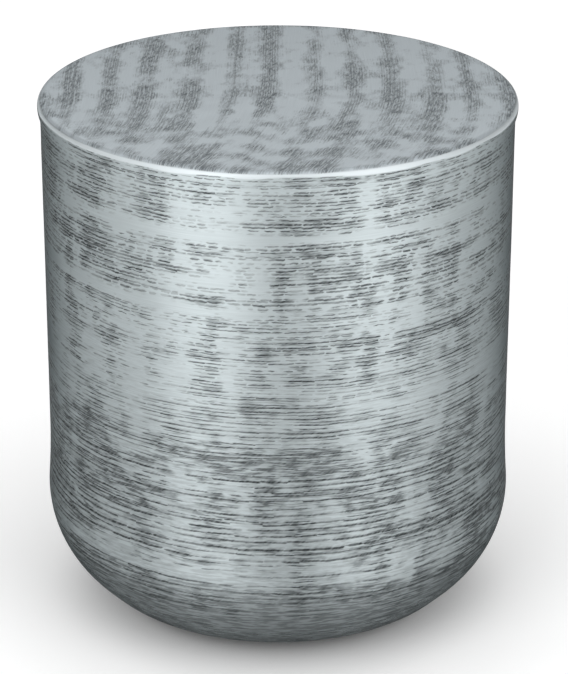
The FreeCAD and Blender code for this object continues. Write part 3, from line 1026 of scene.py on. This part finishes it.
class DRUM_OT_glide_pads(Operator):
    """Moulded swivel pads under the stems"""

    bl_idname = "drum.glide_pads"
    bl_label = "Glide Pads"

    def execute(self, context):
        # The eye sees near-black plastic, with a soft sheen and the mould's fine grain
        colour = context.scene.drum_finish.nylon
        nylon = plain_finish("moulded_nylon", colour, 0.0, 0.46, 0.14, 0.0012, 0.00004)
        columns, ease = 72, 0.0006
        for number in GLIDES:
            low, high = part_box("glide_pad_" + number)
            reach = (high.x - low.x) / 2
            # Sole, a small step above it, the rim, the dished top and the socket for the stem's head
            section = eased([
                (0.0008, 0.0), (reach - 0.0022, 0.0), (reach - 0.0014, 0.0013), (reach - 0.0002, 0.0016),
                (reach, 0.0030), (reach - 0.0018, 0.0046), (0.0080, 0.0050), (0.0033, 0.0050),
                (0.0033, 0.0036), (0.0052, 0.0036), (0.0052, 0.0014), (0.0008, 0.0014)], ease)
            lathe("pad_" + number, box_middle(low, high), section[:, 0], low.z + section[:, 1], columns,
                  "pad_" + number, "glide_pad_" + number, nylon)
        return {"FINISHED"}


class DRUM_OT_base_felt(Operator):
    """Wool felt disc that closes the opening in the base"""

    bl_idname = "drum.base_felt"
    bl_label = "Base Felt"

    def execute(self, context):
        # The eye sees charcoal wool, matted and without shine
        colour = context.scene.drum_finish.felt
        felt = plain_finish("pressed_wool_felt", colour, 0.0, 0.93, 0.30, 0.0011, 0.0004)
        low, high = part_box("base_felt")
        reach = high.x
        columns, middle, uneven = 180, 0.0015, 0.00035
        turn = columns_round(columns)
        out = np.linspace(middle, reach - 0.0004, 70)[:, None] + 0.0 * turn
        # The face lies within the sheet's thickness, uneven by the product of a fine and a coarse noise
        face = low.z + uneven * (cloud(turn, out, 40, 0.006, 71) * cloud(turn, out, 15, 0.02, 72))
        edge_r = np.array([reach, reach])[:, None] + 0.0 * turn
        edge_z = np.array([low.z + 0.0003, high.z - 0.0002])[:, None] + 0.0 * turn
        back = np.linspace(reach - 0.0003, middle, 12)[:, None] + 0.0 * turn
        radius = np.concatenate([out, edge_r, back])
        height = np.concatenate([face, edge_z, 0.0 * back + high.z])
        piece = lathe("felt_disc", (0.0, 0.0), radius, height, columns, "drum", "base_felt",
                      felt)
        return {"FINISHED"}


class DRUM_OT_inner_pieces(Operator):
    """Finishes of the CAD pieces that stay: inner bands, boards, screws and tee nuts"""

    bl_idname = "drum.inner_pieces"
    bl_label = "Inner Pieces"

    def execute(self, context):
        # The eye sees plain rolled metal, brown pressed board with a fine fleck, and pale plated steel
        finishes = {
            "mill_aluminium": ("mill_aluminium", linear("b9bdbf"), 1.0, 0.42, 0.10, 0.006, 0.00005),
            "fibreboard": ("fibreboard", linear("6b5138"), 0.0, 0.82, 0.22, 0.0022, 0.0002),
            "zinc_steel": ("zinc_plated_steel", linear("b4b6b4"), 1.0, 0.32, 0.10, 0.003, 0.00003),
        }
        for slot, nodes in DRUM_INNERS.items():
            finish = plain_finish(*finishes[slot])
            for node in nodes:
                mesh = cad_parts[node].data
                mesh.materials.clear()
                mesh.materials.append(finish)
        return {"FINISHED"}


def white_paper():
    """Matt paper that the eye sees as white, also in the metal, and that keeps the object's shadow.

    Its glow is darkened near objects by ambient occlusion, a painted shadow, and grows with the distance,
    because the lamps light it less there.
    """
    material, put = new_material("matt_white_paper")
    rays = put("LightPath").outputs
    seen = rays["Is Camera Ray"]
    for ray in ("Is Glossy Ray", "Is Transmission Ray"):
        seen = put("Math", seen, rays[ray], operation="MAXIMUM")
    # Painted shadow: ambient occlusion darkens the glow near the table
    shade = put("AmbientOcclusion", links={"Distance": 0.3}, samples=8).outputs["AO"]
    where = put("TexCoord").outputs["Object"]
    away = put("VectorMath", where, operation="LENGTH").outputs["Value"]
    near, far, near_glow, far_glow = 0.8, 3.0, 0.6, 0.95
    glow = put("MapRange", away, near, far, near_glow, far_glow)
    for factor in (shade, seen):
        glow = put("Math", glow, factor, operation="MULTIPLY")
    shader = put("BsdfPrincipled", links={
        "Base Color": (*linear("e6e6e6"), 1.0), "Roughness": 0.9, "Specular IOR Level": 0.0,
        "Emission Color": WHITE, "Emission Strength": glow})
    put("OutputMaterial", shader)
    return material


def softbox(name, place, aim, wide, high, brightness):
    """An area lamp whose face has the given brightness: its power is brightness times pi times its area."""
    lamp = bpy.data.lights.new(name, "AREA")
    lamp.shape = "RECTANGLE"
    lamp.size = wide
    lamp.size_y = high
    lamp.energy = brightness * math.pi * wide * high
    box = bpy.data.objects.new(name, lamp)
    box.location = place
    box.rotation_euler = (Vector(aim) - Vector(place)).to_track_quat("-Z", "Y").to_euler()
    bpy.context.scene.collection.objects.link(box)


class DRUM_OT_stage(Operator):
    """Plain pale floor, softboxes and the camera"""

    bl_idname = "drum.stage"
    bl_label = "Stage"

    def execute(self, context):
        light = context.scene.drum_light
        mesh = bpy.data.meshes.new("floor")
        corners = [(-1, -1), (1, -1), (1, 1), (-1, 1)]
        mesh.from_pydata([(FLOOR_HALF * x, FLOOR_HALF * y, 0) for x, y in corners], [], [(0, 1, 2, 3)])
        floor = bpy.data.objects.new("floor", mesh)
        context.scene.collection.objects.link(floor)
        mesh.materials.append(white_paper())

        for name, place, aim, wide, high, setting in SOFTBOXES:
            softbox(name, place, aim, wide, high, getattr(light, setting))

        world = bpy.data.worlds.new("studio_room")
        context.scene.world = world
        world.use_nodes = True
        back = world.node_tree.nodes["Background"]
        back.inputs["Color"].default_value = WHITE
        back.inputs["Strength"].default_value = light.room

        lens = bpy.data.cameras.new("camera")
        lens.lens = CAMERA_LENS
        lens.shift_x = CAMERA_SHIFT
        lens.clip_start = 0.1
        lens.clip_end = 100
        camera = bpy.data.objects.new("camera", lens)
        camera.location = CAMERA_PLACE
        camera.rotation_euler = (math.radians(CAMERA_TILT), 0.0, 0.0)
        context.scene.collection.objects.link(camera)
        context.scene.camera = camera
        context.scene.view_settings.view_transform = "Standard"
        return {"FINISHED"}


class DRUM_PT_table(Panel):
    """The drum table's pieces, each with the operator that builds it"""

    bl_idname = "DRUM_PT_table"
    bl_label = "Drum Table"
    bl_space_type = "VIEW_3D"
    bl_region_type = "UI"
    bl_category = "Drum Table"

    def draw(self, context):
        for operator in OPERATORS:
            self.layout.operator(operator.bl_idname)


OPERATORS = (DRUM_OT_side_wall, DRUM_OT_base_bowl, DRUM_OT_top_plate, DRUM_OT_glide_stems,
             DRUM_OT_glide_pads, DRUM_OT_base_felt, DRUM_OT_inner_pieces, DRUM_OT_stage)
GROUPS = {"drum_sizes": DrumSizes, "drum_scoring": DrumScoring, "drum_finish": DrumFinish,
          "drum_light": StudioLight}


def register():
    for group in GROUPS.values():
        bpy.utils.register_class(group)
    for key, group in GROUPS.items():
        setattr(bpy.types.Scene, key, PointerProperty(type=group))
    for operator in OPERATORS:
        bpy.utils.register_class(operator)
    bpy.utils.register_class(DRUM_PT_table)


def unregister():
    bpy.utils.unregister_class(DRUM_PT_table)
    for operator in reversed(OPERATORS):
        bpy.utils.unregister_class(operator)
    for key in GROUPS:
        delattr(bpy.types.Scene, key)
    for group in reversed(GROUPS.values()):
        bpy.utils.unregister_class(group)


def main():
    register()
    bpy.ops.drum.side_wall()
    bpy.ops.drum.base_bowl()
    bpy.ops.drum.top_plate()
    bpy.ops.drum.glide_stems()
    bpy.ops.drum.glide_pads()
    bpy.ops.drum.base_felt()
    bpy.ops.drum.inner_pieces()
    bpy.ops.drum.stage()
    bpy.context.view_layer.update()


if __name__ == "__main__":
    main()
